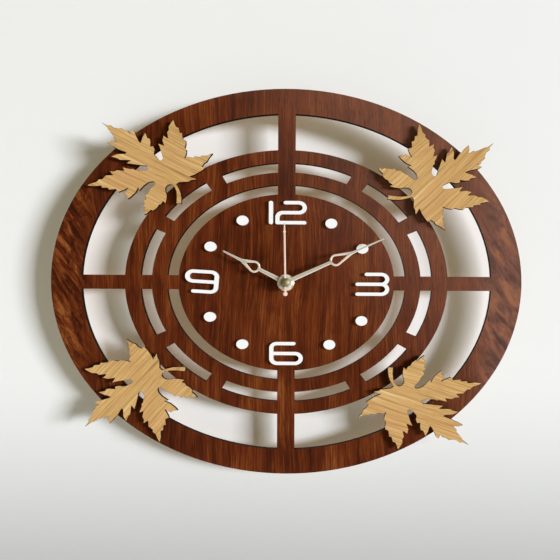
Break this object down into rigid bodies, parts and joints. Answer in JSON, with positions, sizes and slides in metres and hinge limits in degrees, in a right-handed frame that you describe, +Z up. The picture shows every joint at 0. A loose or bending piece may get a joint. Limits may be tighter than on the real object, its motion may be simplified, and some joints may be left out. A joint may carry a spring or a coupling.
{
  "type": "wall clock",
  "caption": "Oval laser-cut wooden wall clock with raised maple leaves, white hour marks, skeleton hands and a geared quartz movement behind the dial.",
  "frame": {"origin": "on the axis of the hands, at the back face of the movement where it rests on the wall", "axes": "+Z up, +Y into the wall, +X to the right seen from the room; the dial faces -Y"},
  "size_m": [0.367, 0.0335, 0.3],
  "materials": {
    "walnut_veneer": "satin, laser-cut edges burnt dark",
    "oak_veneer": "satin",
    "foam_tape": "matt foam",
    "white_acrylic": "gloss",
    "champagne_aluminium": "satin lacquer",
    "brass": "plain",
    "black_rubber": "matt",
    "black_abs": "fine texture",
    "white_acetal": "smooth",
    "steel": "zinc plated",
    "circuit_laminate": "solder mask",
    "epoxy": "glossy blob",
    "copper": "enamelled wire",
    "ferrite": "ground",
    "cell_jacket": "printed film, no marks"
  },
  "bodies": {
    "clock_frame": {"dial_plate": "walnut_veneer", "maple_leaf_top_left": "oak_veneer", "maple_leaf_top_right": "oak_veneer", "maple_leaf_bottom_left": "oak_veneer", "maple_leaf_bottom_right": "oak_veneer", "leaf_mounting_pads": "foam_tape", "numeral_twelve": "white_acrylic", "numeral_three": "white_acrylic", "numeral_six": "white_acrylic", "numeral_nine": "white_acrylic", "hour_dots": "white_acrylic", "fixing_nut": "brass", "brass_washer": "brass", "rubber_washer": "black_rubber", "movement_case": "black_abs", "movement_cover": "black_abs", "hanger": "steel", "bearing_plate": "black_abs", "train_pins": "steel", "case_screws": "steel", "circuit_board": "circuit_laminate", "quartz_crystal": "steel", "chip": "epoxy", "coil_bobbin": "white_acetal", "coil_winding": "copper", "coil_core": "steel", "stator_plate": "steel", "battery_cell": "cell_jacket", "battery_contact_positive": "steel", "battery_contact_negative": "steel"},
    "seconds_group": {"seconds_wheel": "white_acetal", "seconds_arbor": "steel", "second_hand": "champagne_aluminium"},
    "minutes_group": {"centre_wheel": "white_acetal", "minute_arbor": "white_acetal", "minute_hand": "champagne_aluminium"},
    "hours_group": {"hour_wheel": "white_acetal", "hour_hand": "champagne_aluminium"},
    "third_wheel_group": {"third_wheel": "white_acetal", "third_arbor": "steel"},
    "intermediate_wheel_group": {"intermediate_wheel": "white_acetal"},
    "rotor_group": {"rotor_magnet": "ferrite", "rotor_pinion": "white_acetal"},
    "motion_wheel_group": {"motion_wheel": "white_acetal"},
    "setting_knob_group": {"setting_knob": "black_abs", "setting_arbor": "white_acetal"}
  },
  "joints": [
    {"name": "minute_hand_turn", "type": "hinge", "parent": "clock_frame", "child": "minutes_group", "pos_m": [0, -0.02, 0], "axis": [0, 1, 0], "continuous": true},
    {"name": "hour_hand_turn", "type": "hinge", "parent": "clock_frame", "child": "hours_group", "pos_m": [0, -0.02, 0], "axis": [0, 1, 0], "continuous": true},
    {"name": "second_hand_turn", "type": "hinge", "parent": "clock_frame", "child": "seconds_group", "pos_m": [0, -0.02, 0], "axis": [0, 1, 0], "continuous": true},
    {"name": "third_wheel_turn", "type": "hinge", "parent": "clock_frame", "child": "third_wheel_group", "pos_m": [-0.00842, -0.01, 0.00486], "axis": [0, 1, 0], "continuous": true},
    {"name": "intermediate_wheel_turn", "type": "hinge", "parent": "clock_frame", "child": "intermediate_wheel_group", "pos_m": [0.0036, -0.007, -0.00624], "axis": [0, 1, 0], "continuous": true},
    {"name": "rotor_turn", "type": "hinge", "parent": "clock_frame", "child": "rotor_group", "pos_m": [0.0106, -0.005, -0.00624], "axis": [0, 1, 0], "continuous": true},
    {"name": "motion_wheel_turn", "type": "hinge", "parent": "clock_frame", "child": "motion_wheel_group", "pos_m": [0.00432, -0.0125, 0.00748], "axis": [0, 1, 0], "continuous": true},
    {"name": "setting_knob_turn", "type": "hinge", "parent": "clock_frame", "child": "setting_knob_group", "pos_m": [0.01244, -0.002, 0.01044], "axis": [0, 1, 0], "continuous": true}
  ],
  "couplings": [
    {"joint": "hour_hand_turn", "follows": "minute_hand_turn", "ratio": 0.083333},
    {"joint": "second_hand_turn", "follows": "minute_hand_turn", "ratio": 60},
    {"joint": "third_wheel_turn", "follows": "minute_hand_turn", "ratio": -8},
    {"joint": "intermediate_wheel_turn", "follows": "minute_hand_turn", "ratio": -300},
    {"joint": "rotor_turn", "follows": "minute_hand_turn", "ratio": 1800},
    {"joint": "motion_wheel_turn", "follows": "minute_hand_turn", "ratio": -0.33333},
    {"joint": "setting_knob_turn", "follows": "minute_hand_turn", "ratio": 1}
  ]
}
